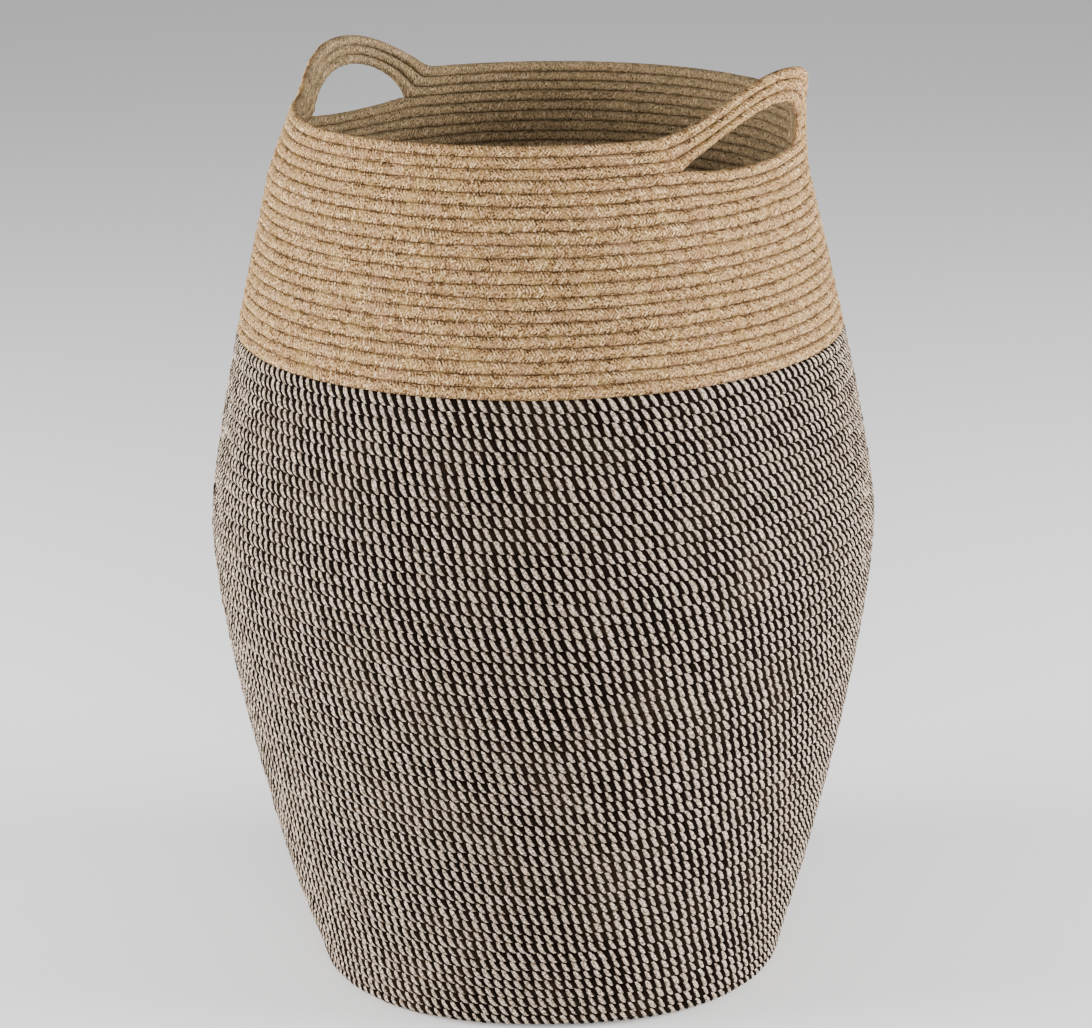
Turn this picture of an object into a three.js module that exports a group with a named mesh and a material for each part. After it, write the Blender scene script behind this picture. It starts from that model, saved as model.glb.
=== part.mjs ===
// Tall laundry hamper of braided rope, coiled and sewn course on course.
// Two-tone rope makes the floor, the heel and the lower wall; plain jute rope makes the upper
// wall, the rim and both handles. The top three courses lift off the wall at the two ends of
// the X axis and arch over a finger gap. The hamper is open at the top and has no lid.
// Units are millimetres, +Z is up, and the origin is the middle of the underside.

import * as THREE from "three";

// ---- Driving dimensions -------------------------------------------------------------------

// Rope
const ropeThickness = 7.8; // through the wall
const juteCourseHeight = 7.1; // one turn of the jute rope at the rim
const stitchGap = 0.3; // what is left between one run of rope and the next
const ropeRound = 1.6; // how far a run's edges are rounded off at the groove beside it

// Outline of the outer face
const heelRadius = 12; // rounding from floor to wall
const footRadius = 174; // wall where the heel ends
const footSlope = 0.278; // outward lean of the wall there, as a tangent
const footReach = 145; // how far up the wall that lean is felt
const bellyRadius = 235;
const bellyHeight = 325;
const bellyReachDown = 55; // how far the wall stays upright below and above the belly
const bellyReachUp = 58;
const rimRadius = 175.5;
const rimHeight = 619;
const rimSlope = -0.19;
const rimReach = 22;

// Zones
const juteDepth = 157; // height of the jute rope below the rim
const twoToneRuns = 10; // the two-tone wall is held as this many runs of courses
const juteRuns = 5;
const rimCourses = 3; // courses that form the rim and the handles
const floorStartRadius = 24; // first, tightest turns of the floor coil
const floorSplitRadius = 92; // where the inner floor courses end

// Handles, at both ends of the X axis
const gapSag = 4; // how far the wall dips under the finger gap
const archSharpness = 0.65; // 1 is a parabola; more gives the arch softer feet
const archSoftening = 0.25; // each higher course has feet softer by this
const archSquareness = 1; // 1 keeps the courses' full thickness square to the arch's slope
const slopeReach = 12; // the slope is measured over this far to either side

// For each handle: finger gap, corner to corner, along the rim; lift at the top; lean of the
// top along the rim; shift of the whole handle along the rim; how much further out each higher
// course starts to lift; and how much further along each higher course has slid
const rightHandle = { gap: 116, rise: 35, skew: 0.38, shift: 1.5, spread: 7.5, slide: 0 };
const leftHandle = { gap: 100, rise: 31, skew: 0.05, shift: 0, spread: 10, slide: 3 };

// The soft mouth isn't quite round: it is pushed out or in about a few angles from +X, in
// degrees, by so much at the rim and more above it, and not at all below the soft depth
const mouthPushes = [
  { angle: 22, reach: 60, push: 10 },
  { angle: 225, reach: 40, push: -7 },
];
const mouthSoftDepth = 45;
const mouthSoftness = 1.1;

// The soft foot isn't quite round either. It is a little square, with a flat side at one angle
// from +X in degrees, and has slid sideways; all of this fades away above the floor
const footSquareness = 5;
const footSlide = 2;
const footFlatSide = -49.8;
const footSoftHeight = 70;
const footSoftness = 1.5;

// Facets
const wallSegments = 36;
const rimSegments = 72;
const heelSteps = 4;
const handleCrowding = 0.25; // draws the rim's sections together at the handles

// ---- Values that follow -------------------------------------------------------------------

const halfGap = stitchGap / 2;
const rimZoneHeight = rimCourses * juteCourseHeight;
const rimZoneBase = rimHeight - rimZoneHeight;
const colourChangeHeight = rimHeight - juteDepth;
const floorRadius = footRadius - heelRadius;

// ---- Materials ----------------------------------------------------------------------------

function twoToneRope() {
  return new THREE.MeshStandardMaterial({ color: 0x6b5f55, roughness: 0.95, metalness: 0 });
}

function juteRope() {
  return new THREE.MeshStandardMaterial({ color: 0xb8966d, roughness: 0.95, metalness: 0 });
}

// ---- Outline ------------------------------------------------------------------------------

// A point at some distance from a start, along a lean given as a tangent.
function alongSlope(radius, height, slope, distance) {
  const length = Math.hypot(slope, 1);
  return new THREE.Vector2(radius + (slope / length) * distance, height + distance / length);
}

const lowerOutline = new THREE.CubicBezierCurve(
  new THREE.Vector2(footRadius, heelRadius),
  alongSlope(footRadius, heelRadius, footSlope, footReach),
  new THREE.Vector2(bellyRadius, bellyHeight - bellyReachDown),
  new THREE.Vector2(bellyRadius, bellyHeight),
);

const upperOutline = new THREE.CubicBezierCurve(
  new THREE.Vector2(bellyRadius, bellyHeight),
  new THREE.Vector2(bellyRadius, bellyHeight + bellyReachUp),
  alongSlope(rimRadius, rimHeight, rimSlope, -rimReach),
  new THREE.Vector2(rimRadius, rimHeight),
);

// Outer radius of the wall at a height, found by halving the curve's parameter.
function outerRadius(height) {
  const curve = height < bellyHeight ? lowerOutline : upperOutline;
  const halvings = 40;
  let low = 0;
  let high = 1;
  for (let i = 0; i < halvings; i += 1) {
    const middle = (low + high) / 2;
    if (curve.getPoint(middle).y < height) {
      low = middle;
    } else {
      high = middle;
    }
  }
  return curve.getPoint((low + high) / 2).x;
}

// Inner radius at a height: the rope's thickness is measured square to the leaning wall.
function innerRadius(height) {
  const step = 1;
  const slope = (outerRadius(height + step) - outerRadius(height - step)) / (2 * step);
  return outerRadius(height) - ropeThickness * Math.hypot(slope, 1);
}

// ---- Handles ------------------------------------------------------------------------------

// Distance along the rim from the middle of the nearer handle, positive anticlockwise.
function distanceFromHandle(x, y) {
  const side = x < 0 ? -1 : 1;
  return Math.atan2(y * side, x * side) * rimRadius;
}

// How far the boundary above the given number of rim courses has lifted.
function archLift(distance, coursesBelow, handle) {
  const reach = handle.gap / 2 + coursesBelow * handle.spread;
  const even = (distance - coursesBelow * handle.slide) / reach;
  const within = Math.min(1, Math.max(-1, even));
  const leaning = within - handle.skew * (1 - within ** 2);
  const share = Math.max(0, 1 - leaning ** 2);
  return handle.rise * share ** (archSharpness + coursesBelow * archSoftening);
}

// Height of the boundary above a number of rim courses. On the slopes of the arch the courses
// are taller, so that the rope keeps its thickness square to the slope.
function boundaryHeight(x, y, coursesBelow) {
  const handle = x < 0 ? leftHandle : rightHandle;
  const distance = distanceFromHandle(x, y) - handle.shift;
  const further = archLift(distance + slopeReach, coursesBelow, handle);
  const nearer = archLift(distance - slopeReach, coursesBelow, handle);
  const slope = (further - nearer) / (2 * slopeReach);
  const courses = coursesBelow * juteCourseHeight * Math.hypot(1, archSquareness * slope);
  return rimZoneBase + courses + archLift(distance, coursesBelow, handle);
}

function wallDip(x, y) {
  const handle = x < 0 ? leftHandle : rightHandle;
  const share = (distanceFromHandle(x, y) - handle.shift) / (handle.gap / 2);
  return gapSag * Math.max(0, 1 - share ** 2);
}

// How far the soft mouth is pushed outwards at an angle about Z and a height.
function mouthPush(angle, height) {
  const above = Math.max(0, (height - (rimHeight - mouthSoftDepth)) / mouthSoftDepth);
  const share = mouthPushes.reduce((sum, { angle: centre, reach, push }) => {
    const turn = THREE.MathUtils.radToDeg(angle) - centre;
    const away = Math.abs(THREE.MathUtils.euclideanModulo(turn + 180, 360) - 180);
    return away < reach ? sum + push * Math.cos(((Math.PI / 2) * away) / reach) ** 2 : sum;
  }, 0);
  return share * above ** mouthSoftness;
}

// How far the soft foot is pushed outwards, most of all at its edge.
function footPush(angle, height, radius) {
  const turn = angle - THREE.MathUtils.degToRad(footFlatSide);
  const push = footSlide * Math.sin(turn) - footSquareness * Math.cos(4 * turn);
  const near = Math.max(0, 1 - Math.max(0, height) / footSoftHeight) ** footSoftness;
  return push * near * Math.min(1, radius / footRadius) ** 3;
}

// ---- Builders -----------------------------------------------------------------------------

// Turns a closed outline of [radius, height] points about Z.
function turned(outline, segments) {
  const points = outline.map(([radius, height]) => new THREE.Vector2(radius, height));
  const geometry = new THREE.LatheGeometry(points, segments);
  geometry.rotateX(Math.PI / 2);
  return geometry;
}

// Moves every vertex of a geometry to the place that the given function returns for it.
function reshape(geometry, placeOf) {
  const position = geometry.getAttribute("position");
  const vertex = new THREE.Vector3();
  for (let i = 0; i < position.count; i += 1) {
    vertex.fromBufferAttribute(position, i);
    const place = placeOf(vertex);
    position.setXYZ(i, place.x, place.y, place.z);
  }
  geometry.computeVertexNormals();
  return geometry;
}

function named(name, geometry, material) {
  const mesh = new THREE.Mesh(geometry, material);
  mesh.name = name;
  return mesh;
}

// Closed outline of a stretch of wall between two heights, edges rounded on the outside.
function wallOutline(bottom, top) {
  const low = bottom + halfGap;
  const high = top - halfGap;
  const outline = [
    [innerRadius(low), low],
    [outerRadius(low) - ropeRound, low],
    [outerRadius(low + ropeRound), low + ropeRound],
    [outerRadius(high - ropeRound), high - ropeRound],
    [outerRadius(high) - ropeRound, high],
    [innerRadius(high), high],
  ];
  return [...outline, outline[0]];
}

// Moves a point of a plain round hamper outwards to the real, soft one.
function softened(vertex) {
  const angle = Math.atan2(vertex.y, vertex.x);
  const evenRadius = Math.hypot(vertex.x, vertex.y);
  const push = mouthPush(angle, vertex.z) + footPush(angle, vertex.z, evenRadius);
  const radius = evenRadius + push;
  return new THREE.Vector3(Math.cos(angle) * radius, Math.sin(angle) * radius, vertex.z);
}

function wallRun(bottom, top) {
  return reshape(turned(wallOutline(bottom, top), wallSegments), softened);
}

// The highest wall run dips under each finger gap.
function wallRunUnderRim(bottom, top) {
  return reshape(wallRun(bottom, top), (vertex) => {
    const share = Math.max(0, (vertex.z - bottom) / (top - bottom));
    vertex.z -= share * wallDip(vertex.x, vertex.y);
    return vertex;
  });
}

// Rounded turn from the floor coil up into the wall.
function heel() {
  const outline = [];
  for (let i = 0; i <= heelSteps; i += 1) {
    const angle = ((Math.PI / 2) * i) / heelSteps;
    const height = heelRadius * (1 - Math.cos(angle));
    const radius = floorRadius + halfGap + (heelRadius - halfGap) * Math.sin(angle);
    outline.push([radius, Math.min(height, heelRadius - halfGap)]);
  }
  const insideRounding = heelRadius - ropeThickness;
  for (let i = heelSteps; i >= 0; i -= 1) {
    const angle = ((Math.PI / 2) * i) / heelSteps;
    const height = ropeThickness + insideRounding * (1 - Math.cos(angle));
    const radius = floorRadius + halfGap + (insideRounding - halfGap) * Math.sin(angle);
    outline.push([radius, Math.min(height, heelRadius - halfGap)]);
  }
  outline.push(outline[0]);
  return reshape(turned(outline, wallSegments), softened);
}

function floorDisc(radius) {
  const edge = radius - halfGap;
  const outline = [
    [0, 0],
    [edge - ropeRound, 0],
    [edge, ropeRound],
    [edge, ropeThickness],
    [0, ropeThickness],
  ];
  return reshape(turned(outline, wallSegments), softened);
}

function floorRing(inside, outside) {
  const inner = inside + halfGap;
  const outer = outside - halfGap;
  const outline = [
    [inner, ropeThickness],
    [inner, ropeRound],
    [inner + ropeRound, 0],
    [outer - ropeRound, 0],
    [outer, ropeRound],
    [outer, ropeThickness],
    [inner, ropeThickness],
  ];
  return reshape(turned(outline, wallSegments), softened);
}

// One course of the rim, all the way round through both handles. Its section is an octagon
// that is first turned as a plain ring and then lifted between the two boundaries it lies in.
function rimCourse(coursesBelow) {
  const bottom = rimZoneBase + coursesBelow * juteCourseHeight;
  const top = bottom + juteCourseHeight;
  const middle = (bottom + top) / 2;
  const outer = outerRadius(middle);
  const inner = innerRadius(middle);
  const low = bottom + halfGap;
  const high = top - halfGap;
  const outline = [
    [inner + ropeRound, low],
    [outer - ropeRound, low],
    [outer, low + ropeRound],
    [outer, high - ropeRound],
    [outer - ropeRound, high],
    [inner + ropeRound, high],
    [inner, high - ropeRound],
    [inner, low + ropeRound],
    [inner + ropeRound, low],
  ];
  return reshape(turned(outline, rimSegments), (vertex) => {
    const radius = Math.hypot(vertex.x, vertex.y);
    const evenAngle = Math.atan2(vertex.y, vertex.x);
    const angle = evenAngle - handleCrowding * Math.sin(2 * evenAngle);
    const across = Math.cos(angle);
    const along = Math.sin(angle);
    const share = (vertex.z - bottom) / juteCourseHeight;
    const lower = boundaryHeight(across, along, coursesBelow);
    const upper = boundaryHeight(across, along, coursesBelow + 1);
    const height = lower + (upper - lower) * share;
    return softened(new THREE.Vector3(across * radius, along * radius, height));
  });
}

// ---- Assembly -----------------------------------------------------------------------------

const hamper = new THREE.Group();

hamper.add(named("floor_coil_start", floorDisc(floorStartRadius), twoToneRope()));
hamper.add(
  named("floor_coil_inner", floorRing(floorStartRadius, floorSplitRadius), twoToneRope()),
);
hamper.add(named("floor_coil_outer", floorRing(floorSplitRadius, floorRadius), twoToneRope()));
hamper.add(named("heel_courses", heel(), twoToneRope()));

const twoToneRunHeight = (colourChangeHeight - heelRadius) / twoToneRuns;
for (let run = 0; run < twoToneRuns; run += 1) {
  const bottom = heelRadius + run * twoToneRunHeight;
  const name = `two_tone_wall_${String(run + 1).padStart(2, "0")}`;
  hamper.add(named(name, wallRun(bottom, bottom + twoToneRunHeight), twoToneRope()));
}

const juteRunHeight = (rimZoneBase - colourChangeHeight) / juteRuns;
for (let run = 0; run < juteRuns; run += 1) {
  const bottom = colourChangeHeight + run * juteRunHeight;
  const top = bottom + juteRunHeight;
  const isHighest = run === juteRuns - 1;
  const geometry = isHighest ? wallRunUnderRim(bottom, top) : wallRun(bottom, top);
  hamper.add(named(`jute_wall_${run + 1}`, geometry, juteRope()));
}

const rimCourseNames = ["handle_rope_lower", "handle_rope_middle", "handle_rope_top"];
rimCourseNames.forEach((name, coursesBelow) => {
  hamper.add(named(name, rimCourse(coursesBelow), juteRope()));
});

export default hamper;
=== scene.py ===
"""A tall laundry hamper of braided rope, coiled and sewn course on course.

Two-tone rope winds the base, the heel and the lower wall. Plain jute rope winds the upper wall,
the rim and the two handles. One stitch of each rope is modelled, repeated into a strip
and wound into the courses of the hamper, so every bundle of yarn is real shape.
"""

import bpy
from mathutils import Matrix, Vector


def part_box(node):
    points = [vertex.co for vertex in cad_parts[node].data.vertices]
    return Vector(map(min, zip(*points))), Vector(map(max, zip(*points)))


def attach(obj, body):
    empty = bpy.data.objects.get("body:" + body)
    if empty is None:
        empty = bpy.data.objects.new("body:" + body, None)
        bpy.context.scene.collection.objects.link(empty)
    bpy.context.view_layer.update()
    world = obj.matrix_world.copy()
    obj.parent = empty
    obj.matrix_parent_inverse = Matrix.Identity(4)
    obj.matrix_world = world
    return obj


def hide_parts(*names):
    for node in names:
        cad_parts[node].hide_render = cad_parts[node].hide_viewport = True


bl_info = {
    "name": "Coiled Rope Hamper",
    "version": (1, 0, 0),
    "blender": (4, 5, 0),
    "location": "3D View > Sidebar > Hamper",
    "description": "Winds a laundry hamper from two-tone and jute rope",
    "category": "Object",
}

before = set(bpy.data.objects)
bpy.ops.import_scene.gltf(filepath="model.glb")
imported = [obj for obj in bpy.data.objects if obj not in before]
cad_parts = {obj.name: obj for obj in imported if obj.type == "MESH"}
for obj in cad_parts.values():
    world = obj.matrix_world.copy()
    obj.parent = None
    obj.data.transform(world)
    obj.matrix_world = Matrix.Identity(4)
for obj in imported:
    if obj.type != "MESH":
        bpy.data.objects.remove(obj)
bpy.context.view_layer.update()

import math

import bpy
import numpy as np
from bpy.props import FloatProperty, FloatVectorProperty, IntProperty, PointerProperty
from bpy.types import Operator, Panel, PropertyGroup
from mathutils import Matrix, Vector

BODY = "root"
FULL_TURN = 2.0 * math.pi
MM = 0.001
TWO_TONE_RUNS = 10
JUTE_RUNS = 5
HANDLE_NODES = ("handle_rope_lower", "handle_rope_middle", "handle_rope_top")
RIM_COURSES = len(HANDLE_NODES)
FACING = math.radians(-49.8)  # side of the hamper that faces the camera, as an angle from +X

# Faces round one stitch of rope, and along it
TWO_TONE_SIDES = 10
TWO_TONE_COLUMNS = 3
JUTE_SIDES = 12
JUTE_COLUMNS = 4

# Every course has its own number, which seeds its random draws and places it in the pattern
FIRST_WALL_COURSE = 20
FIRST_JUTE_COURSE = 120
FIRST_RIM_COURSE = 150
WALL_BOUNDARY_SEED = 500
JUTE_BOUNDARY_SEED = 700


# ---- Settings -----------------------------------------------------------------------------


def length(name, description, default):
    """A size that the user can change, in metres."""
    return FloatProperty(
        name=name, description=description, default=default, min=0.0, precision=5,
        subtype="DISTANCE", unit="LENGTH",
    )


def share(name, description, default):
    """A bare number that the user can change."""
    return FloatProperty(name=name, description=description, default=default, precision=3)


def colour(name, description, default):
    """A linear colour that the user can change."""
    return FloatVectorProperty(
        name=name, description=description, default=default, subtype="COLOR", size=3,
        min=0.0, max=1.0,
    )


class HamperShape(PropertyGroup):
    """Outline of the outer face, the mouth and the handles."""

    heel_radius: length("Heel radius", "Rounding from base to wall", 0.012)
    foot_height: length("Foot height", "Where the outline of the wall starts", 0.012)
    foot_radius: length("Foot radius", "Outer radius there", 0.174)
    foot_slope: share("Foot slope", "Outward lean of the wall there, as a tangent", 0.278)
    foot_reach: length("Foot reach", "How far up the wall that lean is felt", 0.145)
    belly_radius: length("Belly radius", "Widest outer radius", 0.235)
    belly_height: length("Belly height", "Height of the widest place", 0.325)
    belly_reach_down: length("Belly reach down", "Upright stretch below the belly", 0.055)
    belly_reach_up: length("Belly reach up", "Upright stretch above the belly", 0.058)
    rim_radius: length("Rim radius", "Outer radius at the rim", 0.1755)
    rim_height: length("Rim height", "Height of the rim between the handles", 0.619)
    rim_slope: share("Rim slope", "Lean of the wall at the rim, as a tangent", -0.19)
    rim_reach: length("Rim reach", "How far down the wall that lean is felt", 0.022)
    jute_depth: length("Jute depth", "Height of the jute rope below the rim", 0.157)
    gap_sag: length("Gap sag", "Dip of the wall under a handle", 0.004)
    arch_sharpness: share("Arch sharpness", "More gives the arch softer feet", 0.65)
    arch_softening: share("Arch softening", "Softer feet for each higher course", 0.25)
    arch_squareness: share("Arch squareness", "1 keeps the rope's thickness on slopes", 1.0)
    slope_reach: length("Slope reach", "How far to either side a slope is measured", 0.012)
    right_gap: length("Right gap", "Width of the finger gap under the handle at +X", 0.116)
    right_rise: length("Right rise", "Lift of the handle at +X", 0.035)
    right_skew: share("Right skew", "Lean of its top along the rim", 0.38)
    right_shift: length("Right shift", "How far it has slid along the rim", 0.0015)
    right_spread: length("Right spread", "How much further out each higher course lifts", 0.0075)
    left_gap: length("Left gap", "Width of the finger gap under the handle at -X", 0.100)
    left_rise: length("Left rise", "Lift of the handle at -X", 0.031)
    left_skew: share("Left skew", "Lean of its top along the rim", 0.05)
    left_spread: length("Left spread", "How much further out each higher course lifts", 0.010)
    left_slide: length("Left slide", "How much further along each higher course lies", 0.003)
    soft_depth: length("Soft depth", "How far below the rim the mouth is out of round", 0.045)
    foot_squareness: length("Foot squareness", "How far the foot is from round", 0.005)
    foot_slide: length("Foot slide", "How far the foot has slid sideways", 0.002)
    foot_depth: length("Foot depth", "Height up to which the foot is out of round", 0.070)


class HamperRope(PropertyGroup):
    """Sizes of the rope, its yarn and the way it is laid."""

    thickness: length("Thickness", "Rope thickness through the wall", 0.0078)
    two_tone_pitch: length("Two-tone course", "Height of one two-tone course", 0.0082)
    jute_pitch: length("Jute course", "Height of one jute course in the wall", 0.0081)
    rim_pitch: length("Rim course", "Height of one course of the rim", 0.0071)
    groove_turn: FloatProperty(
        name="Groove turn", description="How far round its section the rope shows before it "
        "meets the next course", default=math.radians(74), subtype="ANGLE", unit="ROTATION",
    )
    two_tone_stitch: length("Two-tone stitch", "Length of one bundle, black or cream", 0.00345)
    jute_stitch: length("Jute stitch", "Length of a pair of jute strands", 0.0046)
    two_tone_relief: length("Two-tone relief", "Depth of the crease between bundles", 0.0010)
    jute_relief: length("Jute relief", "Depth of the crease between strands", 0.00050)
    two_tone_lean: share("Two-tone lean", "How far a bundle leans, in bundles", 0.80)
    jute_lean: share("Jute lean", "How far a jute strand leans, in stitches", 0.62)
    waviness: length("Waviness", "How far a course strays from level", 0.00035)
    unevenness: share("Unevenness", "How much neighbouring bundles differ", 1.0)
    seed: IntProperty(name="Seed", description="Start of the random draws", default=11)


class HamperFinish(PropertyGroup):
    """Colours of the rope."""

    cream: colour("Cream yarn", "Light bundles of the two-tone rope", (0.68, 0.54, 0.41))
    black: colour("Black yarn", "Dark bundles of the two-tone rope", (0.0040, 0.0018, 0.0008))
    jute: colour("Jute yarn", "Plain rope", (0.60, 0.352, 0.155))
    jute_light: colour("Light jute", "Palest fibres of the plain rope", (0.95, 0.65, 0.34))
    jute_dark: colour("Dark jute", "Hollows of the plain rope", (0.085, 0.040, 0.013))
    floor: colour("Floor", "Studio floor", (0.92, 0.92, 0.92))


# ---- Outline of the wall -------------------------------------------------------------------


BASE_POINTS = 200
HEEL_POINTS = 60
CURVE_POINTS = 601


def cubic(points):
    """Points along a cubic curve."""
    t = np.linspace(0.0, 1.0, CURVE_POINTS)[:, None]
    a, b, c, d = (np.array(p) for p in points)
    return a * (1 - t) ** 3 + 3 * b * t * (1 - t) ** 2 + 3 * c * t**2 * (1 - t) + d * t**3


def along_slope(radius, height, slope, distance):
    """A point at some distance from a start, along a lean given as a tangent."""
    scale = distance / math.hypot(slope, 1.0)
    return (radius + slope * scale, height + scale)


class Wall:
    """The outer face from the middle of the base to the rim, by distance along it."""

    def __init__(self, shape):
        self.shape = shape
        belly = (shape.belly_radius, shape.belly_height)
        foot = (shape.foot_radius, shape.foot_height)
        rim = (shape.rim_radius, shape.rim_height)
        lower = cubic((
            foot,
            along_slope(*foot, shape.foot_slope, shape.foot_reach),
            (belly[0], belly[1] - shape.belly_reach_down),
            belly,
        ))
        upper = cubic((
            belly,
            (belly[0], belly[1] + shape.belly_reach_up),
            along_slope(*rim, shape.rim_slope, -shape.rim_reach),
            rim,
        ))
        side = np.vstack((lower, upper[1:]))
        tangent = np.gradient(side, axis=0)
        tangent /= np.linalg.norm(tangent, axis=1)[:, None]
        heel = shape.heel_radius
        first = int(np.argmax(side[:, 1] + heel * tangent[:, 0] >= heel))
        centre = side[first, 0] - heel * tangent[first, 1]
        lean = math.atan2(tangent[first, 0], tangent[first, 1])
        turn = np.linspace(-math.pi / 2, -lean, HEEL_POINTS)
        arc = np.stack((centre + heel * np.cos(turn), heel + heel * np.sin(turn)), axis=1)
        base = np.stack((np.linspace(0.0, centre, BASE_POINTS), np.zeros(BASE_POINTS)), axis=1)
        points = np.vstack((base[:-1], arc, side[first + 1:]))
        steps = np.linalg.norm(np.diff(points, axis=0), axis=1)
        self.at = np.concatenate(([0.0], np.cumsum(steps)))
        self.radius, self.height = points.T
        tangent = np.gradient(points, self.at, axis=0)
        tangent /= np.linalg.norm(tangent, axis=1)[:, None]
        self.normal_out, self.normal_up = tangent[:, 1], -tangent[:, 0]
        self.base_end = float(self.at[BASE_POINTS - 1])

    def distance_at(self, height):
        """Distance along the face to a height on the wall."""
        return np.interp(height, self.height[BASE_POINTS:], self.at[BASE_POINTS:])

    def place(self, distance, depth):
        """Radius and height at a distance along the face and a depth into the wall."""
        radius = np.interp(distance, self.at, self.radius)
        height = np.interp(distance, self.at, self.height)
        out = np.interp(distance, self.at, self.normal_out)
        up = np.interp(distance, self.at, self.normal_up)
        return radius - depth * out, height - depth * up


# ---- Handles, mouth and foot ---------------------------------------------------------------

MOUTH_PUSHES = ((22.0, 60.0, 10 * MM), (225.0, 40.0, -7 * MM))  # angle and reach, degrees; push
MOUTH_SOFTNESS = 1.1
FOOT_SOFTNESS = 1.5


def from_handle(shape, angle):
    """Distance along the rim from the middle of the nearer handle, positive anticlockwise."""
    shift = np.where(np.cos(angle) >= 0, shape.right_shift, 0.0)
    return (np.mod(angle + math.pi / 2, math.pi) - math.pi / 2) * shape.rim_radius - shift


def arch_lift(shape, right, distance, below):
    """How far the boundary above a number of rim courses has lifted."""
    gap = np.where(right, shape.right_gap, shape.left_gap)
    rise = np.where(right, shape.right_rise, shape.left_rise)
    skew = np.where(right, shape.right_skew, shape.left_skew)
    spread = np.where(right, shape.right_spread, shape.left_spread)
    slide = np.where(right, 0.0, shape.left_slide)
    even = np.clip((distance - below * slide) / (gap / 2 + below * spread), -1.0, 1.0)
    leaning = even - skew * (1 - even**2)
    lift = np.maximum(0.0, 1 - leaning**2)
    return rise * lift ** (shape.arch_sharpness + below * shape.arch_softening)


def boundary_height(shape, pitch, angle, below):
    """Height of the boundary above a number of rim courses.

    On the slopes of the arch the courses are taller, so that the rope keeps its thickness.
    """
    right = np.cos(angle) >= 0
    distance = from_handle(shape, angle)
    reach = shape.slope_reach
    further = arch_lift(shape, right, distance + reach, below)
    nearer = arch_lift(shape, right, distance - reach, below)
    slope = (further - nearer) / (2 * reach)
    taller = np.hypot(1.0, shape.arch_squareness * slope)
    base = shape.rim_height - RIM_COURSES * pitch
    return base + below * pitch * taller + arch_lift(shape, right, distance, below)


def wall_dip(shape, angle):
    """How far the top of the wall dips under a handle."""
    gap = np.where(np.cos(angle) >= 0, shape.right_gap, shape.left_gap)
    part = from_handle(shape, angle) / (gap / 2)
    return shape.gap_sag * np.maximum(0.0, 1 - part**2)


def mouth_push(shape, angle, height):
    """How far the soft mouth is pushed outwards at an angle and a height."""
    start = shape.rim_height - shape.soft_depth
    above = np.maximum(0.0, (height - start) / shape.soft_depth)
    total = np.zeros_like(height)
    for centre, reach, push in MOUTH_PUSHES:
        away = np.abs(np.mod(np.degrees(angle) - centre + 180, 360) - 180)
        near = np.cos(math.pi / 2 * away / reach) ** 2
        total = total + np.where(away < reach, push * near, 0.0)
    return total * above**MOUTH_SOFTNESS


def foot_push(shape, angle, height, radius):
    """How far the soft foot is pushed outwards. It is a little square, most at its edge."""
    turn = angle - FACING
    push = shape.foot_slide * np.sin(turn) - shape.foot_squareness * np.cos(4 * turn)
    near = np.clip(1 - height / shape.foot_depth, 0.0, 1.0) ** FOOT_SOFTNESS
    return push * near * np.minimum(1.0, radius / shape.foot_radius) ** 3


def to_points(shape, angle, radius, height):
    """Points in space, with mouth and foot pushed out of round, and none below the floor."""
    height = np.maximum(height, 0.0)
    radius = radius + mouth_push(shape, angle, height) + foot_push(shape, angle, height, radius)
    return np.stack((radius * np.cos(angle), radius * np.sin(angle), height), axis=1)


# ---- Modelling -----------------------------------------------------------------------------


def deselect_all():
    """Starts every step with nothing selected."""
    if bpy.context.object and bpy.context.object.mode != "OBJECT":
        bpy.ops.object.mode_set(mode="OBJECT")
    bpy.ops.object.select_all(action="DESELECT")


def activate(obj):
    """Makes one object the only one selected."""
    deselect_all()
    obj.select_set(True)
    bpy.context.view_layer.objects.active = obj


def select_edges(mesh, wanted):
    """Selects, for edit mode, the edges for which a test of their two ends is true."""
    for part in (mesh.vertices, mesh.edges, mesh.polygons):
        part.foreach_set("select", [False] * len(part))
    for edge in mesh.edges:
        start, end = (mesh.vertices[i].co for i in edge.vertices)
        edge.select = wanted(start, end)


def model_stitch(name, sides, columns, inside_too):
    """One stitch of rope: a tube one unit long on X, with +Y outwards and +Z up the wall.

    It has one row of faces for each side. Its long edges are cut into columns, on the outer
    face alone or all round. It is inside out, because winding it round the hamper turns it.
    """
    deselect_all()
    bpy.ops.mesh.primitive_cylinder_add(
        vertices=sides, radius=1.0, depth=1.0, end_fill_type="NOTHING",
        location=(0.5, 0.0, 0.0), rotation=(0.0, math.pi / 2, 0.0),
    )
    stitch = bpy.context.object
    stitch.name = name
    bpy.ops.object.transform_apply(location=True, rotation=True, scale=True)
    bpy.ops.object.mode_set(mode="EDIT")
    bpy.ops.mesh.select_mode(type="EDGE")
    bpy.ops.object.mode_set(mode="OBJECT")
    lowest = -2.0 if inside_too else -0.01
    select_edges(
        stitch.data,
        lambda start, end: abs(start.x - end.x) > 0.5 and start.y > lowest,
    )
    bpy.ops.object.mode_set(mode="EDIT")
    bpy.ops.mesh.subdivide(number_cuts=columns - 1, ngon=True)
    bpy.ops.mesh.select_all(action="SELECT")
    bpy.ops.mesh.flip_normals()
    bpy.ops.object.mode_set(mode="OBJECT")
    return stitch


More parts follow.
